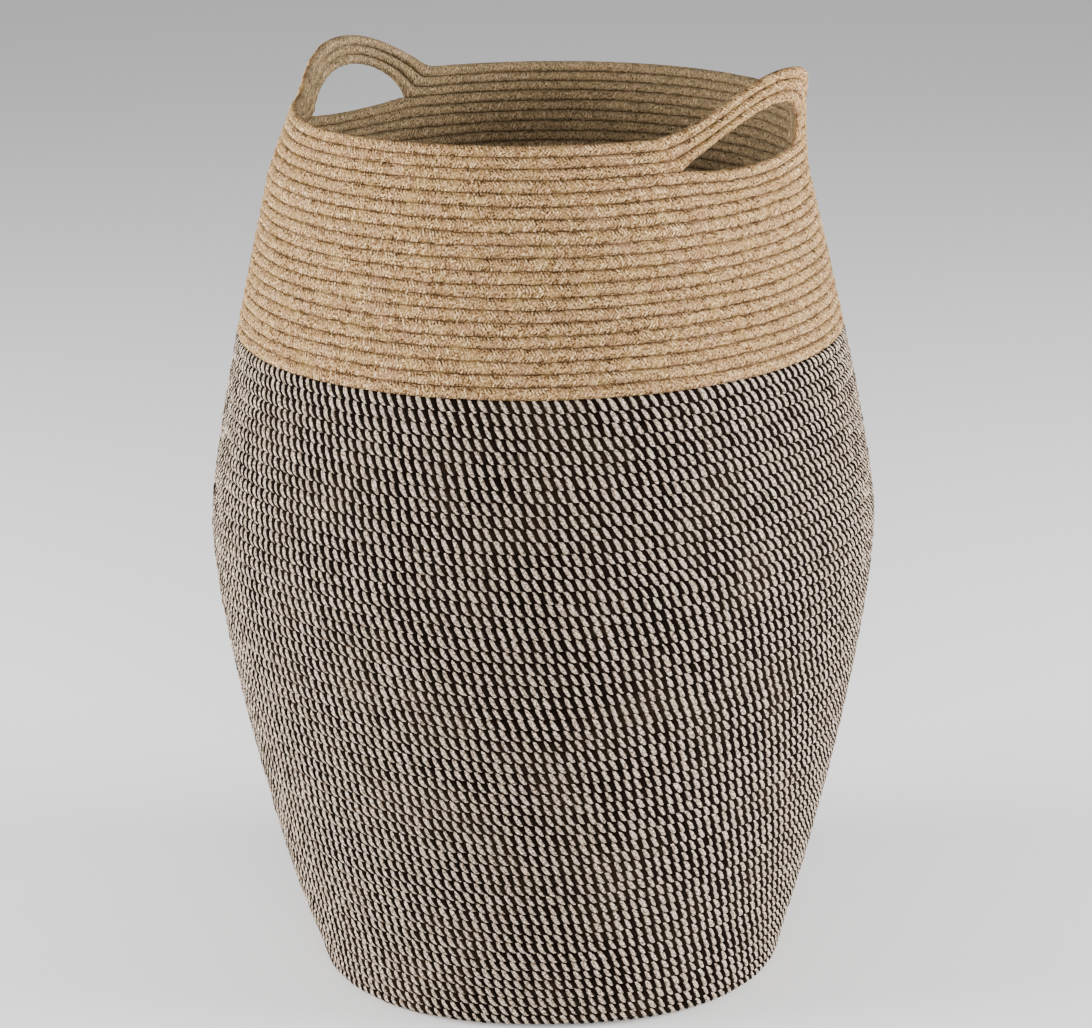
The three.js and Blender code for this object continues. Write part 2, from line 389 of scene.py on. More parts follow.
def repeat_stitch(stitch, count):
    """A straight strip of stitches, as an object with its own mesh."""
    strip = stitch.copy()
    strip.data = stitch.data.copy()
    bpy.context.collection.objects.link(strip)
    activate(strip)
    bpy.ops.object.modifier_add(type="ARRAY")
    array = strip.modifiers[-1]
    array.count = count
    array.use_relative_offset = False
    array.use_constant_offset = True
    array.constant_offset_displace = (1.0, 0.0, 0.0)
    array.use_merge_vertices = True
    array.merge_threshold = 0.001
    bpy.ops.object.modifier_apply(modifier=array.name)
    return strip


SEAM_GAP = 0.00002  # points nearer than this become one


def finish_piece(obj, name, material, nodes):
    """Closes a piece's seams and hands it over to the frame."""
    activate(obj)
    bpy.ops.object.mode_set(mode="EDIT")
    bpy.ops.mesh.select_all(action="SELECT")
    bpy.ops.mesh.remove_doubles(threshold=SEAM_GAP)
    bpy.ops.object.mode_set(mode="OBJECT")
    bpy.ops.object.shade_smooth()
    obj.name = name
    obj.data.name = name
    obj.data.materials.clear()
    obj.data.materials.append(material)
    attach(obj, BODY)
    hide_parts(*nodes)
    return obj


def join(objects):
    """Joins objects into the first."""
    activate(objects[0])
    for obj in objects:
        obj.select_set(True)
    if len(objects) > 1:
        bpy.ops.object.join()
    return objects[0]


def fill_ends(obj):
    """Closes the open ends of a rope."""
    activate(obj)
    bpy.ops.object.mode_set(mode="EDIT")
    bpy.ops.mesh.select_all(action="SELECT")
    bpy.ops.mesh.fill_holes(sides=0)
    bpy.ops.object.mode_set(mode="OBJECT")


# ---- Rope ----------------------------------------------------------------------------------

SLOW_WAVES = (1, 2, 3, 5, 8, 13)
QUICK_WAVES = (23, 37, 52, 71, 90)
QUICK_SHARE = 0.55  # size of the quick waves against the slow ones
DRIFT = -0.30  # how far the pattern starts on from the course below, in stitches
DRIFT_SPREAD = 0.20
DIP_DEPTH = 0.0268  # height of the wall that takes up the dip under a handle
NODE_TOP_SLACK = 0.0004  # a course may lie this far above the CAD node that it stands for


def ripple(rng, angle, size, waves):
    """A smooth closed wave along the hamper's turn, from a few random ones."""
    total = np.zeros_like(angle)
    for wave in waves:
        start = rng.uniform(0.0, FULL_TURN)
        total = total + rng.normal(0.0, 1.0) * np.sin(wave * angle + start)
    return total * size / math.sqrt(len(waves))


class Strip:
    """Where the vertices of a straight strip are: along it, and round its section."""

    def __init__(self, obj, sides):
        self.mesh = obj.data
        flat = np.empty(3 * len(self.mesh.vertices))
        self.mesh.vertices.foreach_get("co", flat)
        points = flat.reshape(-1, 3)
        self.along = points[:, 0]
        turn = np.degrees(np.arctan2(points[:, 2], points[:, 1]))
        slack = 0.5  # keeps the side at 0 from being read as 360
        self.round = np.mod(turn + 90.0 + slack, 360.0) - slack  # 0 under, 90 out, 180 on top
        self.outside = self.round < 180.0 + slack
        step = 360.0 / sides
        inner = (270.0 - self.round) / (90.0 - step)
        self.across = np.where(self.outside, (self.round - 90.0) / 90.0, inner)

    def write_uv(self, course):
        """U counts stitches. V is the course's number plus the way round the section."""
        layer = self.mesh.uv_layers.new(name="Rope")
        corners = np.empty(len(self.mesh.loops), dtype=np.int64)
        self.mesh.loops.foreach_get("vertex_index", corners)
        around = course + 0.02 + 0.96 * self.round / 360.0
        uv = np.stack((self.along[corners], around[corners]), axis=1)
        layer.data.foreach_set("uv", uv.ravel())

    def write_points(self, points):
        """Moves every vertex to its place on the hamper."""
        self.mesh.vertices.foreach_set("co", points.ravel())
        self.mesh.update()


def section(strip, rope, crest):
    """How far out and how far up the course each vertex of a strip is.

    The rope is round where it shows, and flat where it meets the next course.
    """
    turn = rope.groove_turn * strip.across
    out = rope.thickness / 2 * np.cos(turn)
    out = np.where(strip.outside, out + crest, -out - crest)
    up = 0.5 * np.sin(turn) / math.sin(rope.groove_turn)
    return out, up


def two_tone_yarn(strip, rope, rng, count):
    """Lean, relief and stretch of the bundles of the two-tone rope."""
    wander = 0.08 * rope.unevenness  # of a crease along the rope, in bundles
    lean_spread = 0.14 * rope.unevenness
    swell = 0.00015 * rope.unevenness
    height_spread = 0.07 * rope.unevenness
    whole = np.mod(np.round(strip.along), count).astype(int)
    bundle = np.mod(np.floor(strip.along + 0.01), count).astype(int)
    is_crease = strip.along - np.floor(strip.along + 0.01) < 0.05
    crease_shift = rng.normal(0.0, wander, count)[whole]
    crease_lean = rng.normal(1.0, lean_spread, count)[whole]
    fullness = rng.normal(0.0, swell, count)[bundle]
    lean = -rope.two_tone_lean * strip.across
    shift = lean * np.where(is_crease, crease_lean, 1.0) + np.where(is_crease, crease_shift, 0.0)
    fade = 1 - 0.45 * np.abs(strip.across) ** 3
    inner = np.where(is_crease, -0.3 * rope.two_tone_relief, 0.0)
    outer = np.where(is_crease, -rope.two_tone_relief * fade, fullness)
    bulge = rng.normal(0.0, height_spread, count)[bundle]
    stretch = 0.09 + np.where(is_crease, -0.03, bulge)
    return shift, np.where(strip.outside, outer, inner), stretch


def jute_yarn(strip, rope, rng, count):
    """Chevrons of the plain rope: strands lean one way above its middle, the other below."""
    depth_spread = 0.35 * rope.unevenness
    swell = 0.00016 * rope.unevenness
    wander = 0.045 * rope.unevenness  # of a strand along the rope, in stitches
    height_spread = 0.045 * rope.unevenness
    pitted_share = 0.30
    column = np.round(strip.along * JUTE_COLUMNS).astype(int)
    total = count * JUTE_COLUMNS
    level = np.abs(strip.across)
    upper = strip.across > 0.01
    half = np.mod(column, total) + np.where(upper, total, 0)
    crease = np.mod(column + np.where(upper, 0, 1), 2) == 0
    depth = rng.normal(1.0, depth_spread, 2 * total)[half]
    pitted = rng.random(2 * total)[half] < pitted_share
    swollen = rng.normal(0.0, swell, 2 * total)[half]
    crest = np.where(crease, -rope.jute_relief * depth, swollen)
    crest = np.where(crease & pitted, crest - 0.8 * rope.jute_relief, crest)
    crest = np.where(level < 0.01, -0.40 * rope.jute_relief + 0.6 * swollen, crest)
    fade = 1 - 0.5 * level**4
    stray = rng.normal(0.0, wander, 2 * total)[half]
    shift = rope.jute_lean * (1 - level) + stray
    stretch = 0.05 + rng.normal(0.0, height_spread, 2 * total)[half]
    return shift, crest * fade, stretch


class Rope:
    """A kind of rope: its stitch, how the yarn lies, and the stitch's length."""

    def __init__(self, name, sides, columns, inside_too, yarn, stitch_length):
        self.sides = sides
        self.yarn = yarn
        self.stitch_length = stitch_length
        self.stitch = model_stitch(name, sides, columns, inside_too)

    def lay(self, settings, course, run_length, angle_of, place, closed=True):
        """Winds one course. Its stitches are spread evenly along its length.

        angle_of gives the angle at a share of the length, and place a point for an angle, a
        share of the course's height from -0.5 to 0.5, and a distance out of the wall's middle.
        """
        rng = np.random.default_rng([settings.seed, course])
        count = 2 * max(2, round(run_length / (2 * self.stitch_length)))
        obj = repeat_stitch(self.stitch, count)
        strip = Strip(obj, self.sides)
        strip.write_uv(course)
        shift, crest, stretch = self.yarn(strip, settings, rng, count)
        out, up = section(strip, settings, crest)
        up = up * (1 + stretch)
        if not closed:
            ends = np.minimum(strip.along, count - strip.along)
            shift = shift * np.clip(ends / 2.0, 0.0, 1.0)
        angle = angle_of((strip.along + shift) / count)
        strip.write_points(place(angle, up, out))
        return obj

    def put_away(self):
        """Removes the single stitch that the courses were made from."""
        activate(self.stitch)
        bpy.ops.object.delete()


def even_turn(phase):
    """Angles for a level course, which starts where the hamper faces the camera."""
    return lambda part: FACING + FULL_TURN * part + phase


class Boundaries:
    """Boundaries between courses of the wall, each a little wavy."""

    def __init__(self, start, end, pitch, settings, first_seed):
        self.count = round(float(end - start) / pitch)
        self.levels = np.linspace(start, end, self.count + 1)
        self.size = settings.waviness
        self.seeds = [[settings.seed, first_seed + i] for i in range(self.count + 1)]

    def at(self, number, angle):
        """Distance along the face of one boundary. The first and last are level."""
        level = self.levels[number]
        if number in (0, self.count):
            return np.full_like(angle, level)
        rng = np.random.default_rng(self.seeds[number])
        slow = ripple(rng, angle, self.size, SLOW_WAVES)
        return level + slow + ripple(rng, angle, QUICK_SHARE * self.size, QUICK_WAVES)


def wall_courses(wall, rope, settings, bounds, first_course, dips=False):
    """Lays every course between boundaries. Returns them with the height of their middles."""
    shape = wall.shape
    half = settings.thickness / 2
    dip_from = shape.rim_height - RIM_COURSES * settings.rim_pitch - DIP_DEPTH
    courses = []
    phase_rng = np.random.default_rng([settings.seed, first_course, 7])
    drift = 0.0
    for number in range(bounds.count):
        middle = 0.5 * (bounds.levels[number] + bounds.levels[number + 1])
        radius, height = wall.place(middle, half)

        def place(angle, up, out, number=number):
            low = bounds.at(number, angle)
            high = bounds.at(number + 1, angle)
            distance = low + (high - low) * (up + 0.5)
            around, level = wall.place(distance, half - out)
            if dips:
                part = np.clip((level - dip_from) / DIP_DEPTH, 0.0, 1.0)
                level = level - part * wall_dip(shape, angle)
            return to_points(shape, angle, around, level)

        drift += phase_rng.normal(DRIFT, DRIFT_SPREAD) * rope.stitch_length / radius
        run = FULL_TURN * float(radius)
        obj = rope.lay(settings, first_course + number, run, even_turn(drift), place)
        courses.append((float(height), obj))
    return courses


def finish_runs(courses, nodes, material):
    """Makes one piece of the courses whose heights lie in each CAD node."""
    groups = {node: [] for node in nodes}
    tops = [(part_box(node)[1][2], node) for node in nodes]
    for height, obj in courses:
        fitting = [node for top, node in tops if height <= top + NODE_TOP_SLACK]
        groups[fitting[0] if fitting else nodes[-1]].append(obj)
    for node, objects in groups.items():
        name = node.replace("_courses", "_rope").replace("_wall", "_rope")
        finish_piece(join(objects), name, material, (node,))


# ---- Materials -----------------------------------------------------------------------------


class Flow:
    """A number or colour on its way through a material."""

    def __init__(self, sheet, socket):
        self.sheet = sheet
        self.socket = socket

    def __add__(self, other):
        return self.sheet.math("ADD", self, other)

    __radd__ = __add__

    def __sub__(self, other):
        return self.sheet.math("SUBTRACT", self, other)

    def __rsub__(self, other):
        return self.sheet.math("SUBTRACT", other, self)

    def __mul__(self, other):
        return self.sheet.math("MULTIPLY", self, other)

    __rmul__ = __mul__

    def __pow__(self, other):
        return self.sheet.math("POWER", self, other)


class Sheet:
    """A material's nodes, written as expressions."""

    def __init__(self, name):
        self.material = bpy.data.materials.new(name)
        self.material.use_nodes = True
        self.tree = self.material.node_tree
        self.shader = self.tree.nodes["Principled BSDF"]

    def node(self, kind, settings, inputs, output=0):
        """Adds a node: its settings first, then the values or links of its sockets."""
        node = self.tree.nodes.new(kind)
        for name, value in settings.items():
            setattr(node, name, value)
        for name, value in inputs.items():
            self.put(node.inputs[name], value)
        return Flow(self, node.outputs[output])

    def put(self, socket, value):
        """Links a socket, or sets it."""
        if isinstance(value, Flow):
            self.tree.links.new(value.socket, socket)
        else:
            socket.default_value = value

    def math(self, operation, first, second=0.0):
        """Works on one or two numbers."""
        settings = {"operation": operation}
        return self.node("ShaderNodeMath", settings, {0: first, 1: second})

    def mix(self, factor, first, second):
        """Mixes two colours."""
        opaque = [c if isinstance(c, Flow) else (*c, 1.0) for c in (first, second)]
        settings = {"data_type": "RGBA", "clamp_factor": True}
        inputs = {0: factor, 6: opaque[0], 7: opaque[1]}
        return self.node("ShaderNodeMix", settings, inputs, 2)

    def rope_uv(self):
        """Stitch count along the rope, and course number plus the way round it."""
        uv = self.node("ShaderNodeUVMap", {"uv_map": "Rope"}, {})
        along = self.node("ShaderNodeSeparateXYZ", {}, {0: uv})
        return along, Flow(self, along.socket.node.outputs[1])

    def vector(self, x, y, z):
        """Three numbers as one vector."""
        return self.node("ShaderNodeCombineXYZ", {}, {0: x, 1: y, 2: z})

    def noise(self, vector, scale, detail=2.0, roughness=0.55):
        """Smooth random values around 0.5."""
        inputs = {"Vector": vector, "Scale": scale, "Detail": detail, "Roughness": roughness}
        return self.node("ShaderNodeTexNoise", {"noise_dimensions": "3D"}, inputs)

    def scatter(self, vector):
        """A random value for each whole number of a vector."""
        return self.node("ShaderNodeTexWhiteNoise", {"noise_dimensions": "3D"}, {"Vector": vector})

    def place(self):
        """Object coordinates, in metres."""
        return self.node("ShaderNodeTexCoord", {}, {}, "Object")

    def ramp(self, value, low, high):
        """0 below low, 1 above high, smooth between."""
        settings = {"interpolation_type": "SMOOTHSTEP"}
        inputs = {"Value": value, "From Min": low, "From Max": high}
        return self.node("ShaderNodeMapRange", settings, inputs)

    def finish(self, base, height, bump):
        """Connects the colour and the fine relief, and gives the yarn a soft sheen."""
        self.put(self.shader.inputs["Base Color"], base)
        self.shader.inputs["Roughness"].default_value = 0.92
        self.shader.inputs["Specular IOR Level"].default_value = 0.03
        self.shader.inputs["Sheen Weight"].default_value = 0.01
        self.shader.inputs["Sheen Roughness"].default_value = 0.5
        inputs = {"Strength": 1.0, "Distance": bump, "Height": height}
        normal = self.node("ShaderNodeBump", {}, inputs)
        self.put(self.shader.inputs["Normal"], normal)
        return self.material


def near_groove(sheet, around):
    """How near the groove a place is: 0 in the middle of the rope, and 1 in the groove."""
    outer = sheet.math("ABSOLUTE", around * 4.0 - 1.0)
    inner = sheet.math("ABSOLUTE", around - 0.75) * 6.7
    return sheet.math("MINIMUM", outer, inner)


def under_middle(sheet, around):
    """1 below the rope's middle, and 0 above it."""
    return sheet.math("GREATER_THAN", sheet.math("ABSOLUTE", around - 0.5), 0.25)


# Stray colours of the yarn, and colours of painted shade and painted highlights, linear
CREAM_SHADE = (0.13, 0.088, 0.058)
CREAM_PALE = (0.98, 0.86, 0.72)
CREAM_DRAB = (0.40, 0.30, 0.20)
CREAM_EDGE_SHADE = (0.14, 0.10, 0.07)
FIBRE_SHADOW_FLECK = (0.09, 0.050, 0.030)
PALE_FLECK = (1.0, 0.86, 0.73)
BLACK_WORN = (0.060, 0.036, 0.022)
TWO_TONE_HOLLOW_SHADE = (0.004, 0.0018, 0.0008)
TWO_TONE_DUST = (0.13, 0.085, 0.045)
JUTE_BROWN = (0.25, 0.135, 0.050)
JUTE_HIGHLIGHT = (1.0, 0.72, 0.40)
JUTE_GLINT = (1.0, 0.70, 0.37)
JUTE_HOLLOW_SHADE = (0.036, 0.014, 0.004)
JUTE_PINK = (0.46, 0.26, 0.16)
JUTE_YELLOW = (0.54, 0.36, 0.13)
# Painted shade over the inner face of the jute rope
INSIDE_SHADE_DARK = (0.035, 0.026, 0.013)
INSIDE_SHADE_PALE = (0.44, 0.35, 0.21)


def two_tone_material(finish):
    """Black and cream cotton yarn. Each bundle is one colour, with stray fibres of the other.
    Painted shade darkens the creases, the grooves, the edges of the cream bundles and flecks
    between their fibres.
    """
    sheet = Sheet("Two-tone cotton rope")
    u, v = sheet.rope_uv()
    course = sheet.math("FLOOR", v)
    around = sheet.math("FRACT", v)
    across = near_groove(sheet, around)
    tuft = sheet.noise(sheet.vector(u * 3.5, around * 16.0, course), 1.0, 3.0, 0.6)
    fibre = sheet.noise(sheet.vector(u * 9.0, around * 14.0, course), 1.0, 3.0, 0.65)
    place_in_pair = sheet.math("FLOORED_MODULO", u, 2.0)
    away = sheet.math(
        "MINIMUM", sheet.math("ABSOLUTE", place_in_pair - 1.5), place_in_pair + 0.5
    )
    chance = sheet.scatter(sheet.vector(sheet.math("FLOOR", u), course, 3.0))
    tip = sheet.scatter(sheet.vector(sheet.math("FLOOR", u), course, 8.0))
    half = 0.49 + (chance - 0.5) * 0.14 - across**2.0 * (0.24 + tip * 0.24)
    edge = away + (tuft - 0.5) * 0.56
    is_cream = 1.0 - sheet.ramp(edge - half, -0.08, 0.08)
    cream = sheet.mix(sheet.ramp(fibre, 0.38, 0.56), CREAM_SHADE, finish.cream)
    cream = sheet.mix(sheet.ramp(fibre, 0.54, 0.66) * 0.9, cream, CREAM_PALE)
    cream = sheet.mix(chance * 0.35, cream, CREAM_DRAB)
    fleck = sheet.noise(sheet.vector(u * 3.2, around * 15.0, course + 20.0), 1.0, 2.0, 0.7)
    # Painted shade: dark flecks stand in for the shadows between the fibres of the cream bundles
    cream = sheet.mix(sheet.ramp(fleck, 0.49, 0.41) * 0.90, cream, FIBRE_SHADOW_FLECK)
    cream = sheet.mix(sheet.ramp(fleck, 0.53, 0.62) * 0.80, cream, PALE_FLECK)
    # Painted shade: the cream bundles darken towards their rounded edges
    cream = sheet.mix(sheet.ramp(away, 0.22, 0.60) * 0.50, cream, CREAM_EDGE_SHADE)
    black = sheet.mix(sheet.ramp(fibre, 0.60, 0.80) * 0.4, finish.black, BLACK_WORN)
    base = sheet.mix(is_cream, black, cream)
    # Painted shade: the creases between bundles and the grooves between courses are darkened
    # towards black
    crease = sheet.ramp(sheet.math("ABSOLUTE", sheet.math("FRACT", u) - 0.5), 0.38, 0.50)
    groove = sheet.ramp(across + (tuft - 0.5) * 0.3, 0.74, 0.98)
    shade = 1.0 - (1.0 - crease * 0.5) * (1.0 - groove * 0.85)
    base = sheet.mix(shade, base, TWO_TONE_HOLLOW_SHADE)
    drift = sheet.noise(sheet.place(), 22.0, 2.0)
    base = sheet.mix(sheet.ramp(drift, 0.40, 0.75) * 0.07, base, TWO_TONE_DUST)
    return sheet.finish(base, fibre + tuft * 0.6, 0.0009)


def jute_material(finish):
    """Plain jute: pale and dark fibres in short leaning strands, with painted shade in the hollows
    and over the inner face, and painted highlights on some strands.
    """
    sheet = Sheet("Jute rope")
    u, v = sheet.rope_uv()
    course = sheet.math("FLOOR", v)
    around = sheet.math("FRACT", v)
    across = near_groove(sheet, around)
    below = under_middle(sheet, around)
    tuft = sheet.noise(sheet.vector(u * 4.0, around * 16.0, course), 1.0, 2.0, 0.6)
    fibre = sheet.noise(sheet.vector(u * 10.0, around * 17.0, course), 1.0, 3.0, 0.7)
    speck = sheet.noise(sheet.vector(u * 4.2, around * 13.0, course + 40.0), 1.0, 2.0, 0.7)
    strand = u * 2.0 + below * 0.5 + (tuft - 0.5) * 1.5
    number = sheet.math("FLOOR", strand)
    chance = sheet.scatter(sheet.vector(number, course, below))
    second = sheet.scatter(sheet.vector(number, course, below + 5.0))
    within = sheet.math("ABSOLUTE", sheet.math("FRACT", strand) - 0.5)
    clear_place = sheet.vector(u * 0.4, around * 2.0, course)
    clear = sheet.ramp(sheet.noise(clear_place, 1.0, 1.0), 0.38, 0.62)
    base = sheet.mix(sheet.ramp(fibre, 0.40, 0.56), finish.jute_dark, finish.jute)
    base = sheet.mix(sheet.ramp(fibre, 0.53, 0.66) * 0.9, base, finish.jute_light)
    base = sheet.mix(chance * 0.50, base, JUTE_BROWN)
    # Painted highlight along the middles of some strands
    strand_highlight = sheet.ramp(within, 0.28, 0.06) * sheet.ramp(second, 0.35, 0.95)
    strand_highlight = strand_highlight * sheet.ramp(speck, 0.38, 0.55)
    base = sheet.mix(strand_highlight * 0.90, base, JUTE_HIGHLIGHT)
    # Painted shade in the creases between strands, in the grooves between courses, in pits and in
    # small holes
    crease = sheet.ramp(within, 0.24, 0.46) * (0.25 + clear * 0.75)
    gap = sheet.scatter(sheet.vector(sheet.math("FLOOR", u * 0.7), course, 9.0))
    groove = sheet.ramp(across + (tuft - 0.5) * 0.8, 0.48, 0.86) * (0.35 + gap * 0.65)
    pit_place = sheet.vector(number, course, below + 2.0)
    pit = sheet.ramp(sheet.scatter(pit_place), 0.60, 0.68) * sheet.ramp(within, 0.12, 0.32)
    pit = pit * sheet.ramp(sheet.math("ABSOLUTE", across - 0.55), 0.34, 0.12)
    hole = sheet.ramp(speck, 0.48, 0.41)
    lit = (1.0 - crease * (0.20 + chance * 0.60)) * (1.0 - groove * 0.90)
    shade = 1.0 - lit * (1.0 - pit * 0.95) * (1.0 - hole * 0.90)
    base = sheet.mix(shade, base, JUTE_HOLLOW_SHADE)
    glint = sheet.ramp(speck, 0.55, 0.64)
    base = sheet.mix(glint * 0.40 * (1.0 - groove), base, JUTE_GLINT)
    patch = sheet.noise(sheet.place(), 75.0, 3.0)
    base = sheet.mix(sheet.ramp(patch, 0.50, 0.76) * 0.35, base, JUTE_PINK)
    base = sheet.mix(sheet.ramp(patch, 0.50, 0.27) * 0.30, base, JUTE_YELLOW)
    # Painted shade: the inner face of the jute rope is darkened and dulled, standing in for the
    # dimmer light inside the hamper
    inside = sheet.ramp(around, 0.50, 0.58)
    inner_face_shade = sheet.mix(sheet.ramp(fibre, 0.42, 0.60), INSIDE_SHADE_DARK, INSIDE_SHADE_PALE)
    base = sheet.mix(inside * 0.55, base, inner_face_shade)
    return sheet.finish(base, fibre + tuft * 0.7, 0.0010)


# ---- Operators -----------------------------------------------------------------------------


def scene_settings():
    """The wall worked out from the shape, and the settings of the rope and the colours."""
    scene = bpy.context.scene
    return Wall(scene.hamper_shape), scene.hamper_rope, scene.hamper_finish


def material_once(name, make, finish):
    """A material that several pieces share is made for the first of them."""
    return bpy.data.materials.get(name) or make(finish)


def two_tone_rope(settings, finish):
    """The two-tone rope and its material."""
    material = material_once("Two-tone cotton rope", two_tone_material, finish)
    rope = Rope(
        "two_tone_stitch", TWO_TONE_SIDES, TWO_TONE_COLUMNS, False, two_tone_yarn,
        settings.two_tone_stitch,
    )
    return rope, material


def jute_rope(settings, finish):
    """The jute rope and its material."""
    material = material_once("Jute rope", jute_material, finish)
    rope = Rope(
        "jute_stitch", JUTE_SIDES, JUTE_COLUMNS, True, jute_yarn, settings.jute_stitch
    )
    return rope, material


class BaseCoil:
    """The coil in the middle of the base. After its last turn the rope narrows away."""

    turns = 11
    tail = 0.5  # angle over which the rope narrows away
    start = 0.92 * math.pi  # angle at which it leaves the middle
    tip_width = 0.06  # share of its width that the rope keeps at its end
    hole = 0.0002  # radius left free at the middle

    def __init__(self, wall, settings):
        self.wall = wall
        self.pitch = settings.two_tone_pitch
        self.half = settings.thickness / 2
        self.end = FULL_TURN * self.turns + self.tail

    def narrowing(self, angle):
        """Share of its width that the rope has: all of it up to the last turn, then less."""
        part = np.clip((angle - FULL_TURN * self.turns) / self.tail, 0.0, 1.0)
        return 1 - part * part * (3 - 2 * part)

    def place(self, angle, up, out):
        """Points of the coil, which moves out by one course in each turn."""
        low = self.pitch * (angle / FULL_TURN - 0.5)
        width = self.pitch * np.maximum(self.narrowing(angle), self.tip_width)
        distance = np.maximum(low + width * (up + 0.5), self.hole)
        radius, height = self.wall.place(distance, self.half - out)
        return to_points(self.wall.shape, angle, radius, height)

    def angle_of(self, part):
        """Angle at a share of the coil's length, which grows with the angle's square."""
        first = self.start**2
        last = self.end**2
        return np.sqrt(np.maximum(first + part * (last - first), 0.0))

    def run_length(self):
        """Length of the coil's rope."""
        return self.pitch * (self.end**2 - self.start**2) / (2 * FULL_TURN)

    def edge(self, angle):
        """Distance from the middle of the base to the coil's outer edge."""
        turn = np.mod(angle, FULL_TURN)
        inner = self.pitch * (self.turns - 0.5 + turn / FULL_TURN)
        return inner + self.pitch * self.narrowing(FULL_TURN * self.turns + turn)


class HAMPER_OT_base(Operator):
    """Winds the base: a coil from the middle outwards, then rounds that settle into a circle."""

    bl_idname = "hamper.base"
    bl_label = "Base coil"

    def execute(self, context):
        wall, settings, finish = scene_settings()
        rope, material = two_tone_rope(settings, finish)
        coil = BaseCoil(wall, settings)
        middle = rope.lay(
            settings, 0, coil.run_length(), coil.angle_of, coil.place, closed=False
        )
        fill_ends(middle)
        covered = ("floor_coil_start", "floor_coil_inner")
        finish_piece(middle, "base_coil", material, covered)
        rounds = self.lay_rounds(rope, settings, wall, coil)
        covered = ("floor_coil_outer",)
        finish_piece(join(rounds), "base_rounds", material, covered)
        rope.put_away()
        return {"FINISHED"}

    def lay_rounds(self, rope, settings, wall, coil):
        """Lays the rounds between the coil's edge and the heel."""
        edge = wall.base_end
        inside = coil.pitch * coil.turns
        count = round((edge - inside) / coil.pitch)
        stagger = 0.1  # angle by which each round starts on from the last
        rounds = []
        for number in range(count):

            def place(angle, up, out, number=number):
                inner = coil.edge(angle)
                part = (number + up + 0.5) / count
                distance = inner + (edge - inner) * part
                radius, height = wall.place(distance, coil.half - out)
                return to_points(wall.shape, angle, radius, height)

            run = FULL_TURN * (inside + (edge - inside) * (number + 0.5) / count)
            turn = even_turn(stagger * number)
            rounds.append(rope.lay(settings, 1 + number, run, turn, place))
        return rounds


class HAMPER_OT_two_tone_wall(Operator):
    """Winds the heel and the lower wall from two-tone rope."""

    bl_idname = "hamper.two_tone_wall"
    bl_label = "Two-tone wall"

    def execute(self, context):
        wall, settings, finish = scene_settings()
        rope, material = two_tone_rope(settings, finish)
        top = wall.distance_at(wall.shape.rim_height - wall.shape.jute_depth)
        pitch = settings.two_tone_pitch
        bounds = Boundaries(wall.base_end, top, pitch, settings, WALL_BOUNDARY_SEED)
        courses = wall_courses(wall, rope, settings, bounds, FIRST_WALL_COURSE)
        nodes = ["heel_courses"]
        nodes += [f"two_tone_wall_{run + 1:02d}" for run in range(TWO_TONE_RUNS)]
        finish_runs(courses, nodes, material)
        rope.put_away()
        return {"FINISHED"}


class HAMPER_OT_jute_wall(Operator):
    """Winds the upper wall from jute rope."""

    bl_idname = "hamper.jute_wall"
    bl_label = "Jute wall"

    def execute(self, context):
        wall, settings, finish = scene_settings()
        rope, material = jute_rope(settings, finish)
        shape = wall.shape
        start = wall.distance_at(shape.rim_height - shape.jute_depth)
        top = wall.distance_at(shape.rim_height - RIM_COURSES * settings.rim_pitch)
        bounds = Boundaries(start, top, settings.jute_pitch, settings, JUTE_BOUNDARY_SEED)
        courses = wall_courses(wall, rope, settings, bounds, FIRST_JUTE_COURSE, dips=True)
        nodes = [f"jute_wall_{run + 1}" for run in range(JUTE_RUNS)]
        finish_runs(courses, nodes, material)
        rope.put_away()
        return {"FINISHED"}


class HAMPER_OT_handles(Operator):
    """Winds the three courses of the rim, which lift off the wall as the two handles."""

    bl_idname = "hamper.handles"
    bl_label = "Rim and handles"

    def execute(self, context):
        wall, settings, finish = scene_settings()
        rope, material = jute_rope(settings, finish)
        shape = wall.shape
        pitch = settings.rim_pitch
        half = settings.thickness / 2
        turn = np.linspace(0.0, FULL_TURN, 1441)  # a point at every quarter of a degree
        for below, node in enumerate(HANDLE_NODES):
            middle = shape.rim_height - (RIM_COURSES - 0.5 - below) * pitch

            def place(angle, up, out, below=below, middle=middle):
                low = boundary_height(shape, pitch, angle, below)
                high = boundary_height(shape, pitch, angle, below + 1)
                level = middle + pitch * up
                lift = low + (high - low) * (up + 0.5) - level
                radius, height = wall.place(wall.distance_at(level), half - out)
                return to_points(shape, angle, radius, height + lift)

            centre = place(turn + FACING, np.zeros_like(turn), np.zeros_like(turn))
            steps = np.linalg.norm(np.diff(centre, axis=0), axis=1)
            travelled = np.concatenate(([0.0], np.cumsum(steps)))

            def angle_of(part, travelled=travelled):
                whole = np.floor(part)
                distance = (part - whole) * travelled[-1]
                return FACING + whole * FULL_TURN + np.interp(distance, travelled, turn)

            number = FIRST_RIM_COURSE + below
            obj = rope.lay(settings, number, float(travelled[-1]), angle_of, place)
            name = node.replace("_rope", "")
            finish_piece(obj, name, material, (node,))
        rope.put_away()
        return {"FINISHED"}


# Name, turn from the side that faces the camera, distance, height, size and power
LIGHTS = (
    ("key_light", 0.10, 3.2, 1.0, 1.5, 86.0),
    ("left_light", -1.45, 2.6, 0.9, 1.4, 175.0),
    ("right_light", 1.40, 2.6, 0.9, 1.4, 172.0),
)
LIGHTS_AIM = (0.0, 0.0, 0.35)
WORLD_STRENGTH = 0.50
FLOOR_SIZE = 14.0
FLOOR_GAP = 0.0004  # keeps the floor from touching the base
FLOOR_GRAIN = (0.86, 0.86, 0.86)
CAMERA_PLACE = (1.3718, -1.6203, 0.9757)
CAMERA_HEADING = math.radians(40.2)  # from +Y towards -X
CAMERA_DOWN = math.radians(17.127)
CAMERA_ROLL = -0.0146
CAMERA_LENS = 102.62  # mm, on a sensor of this width
SENSOR_WIDTH = 36.0


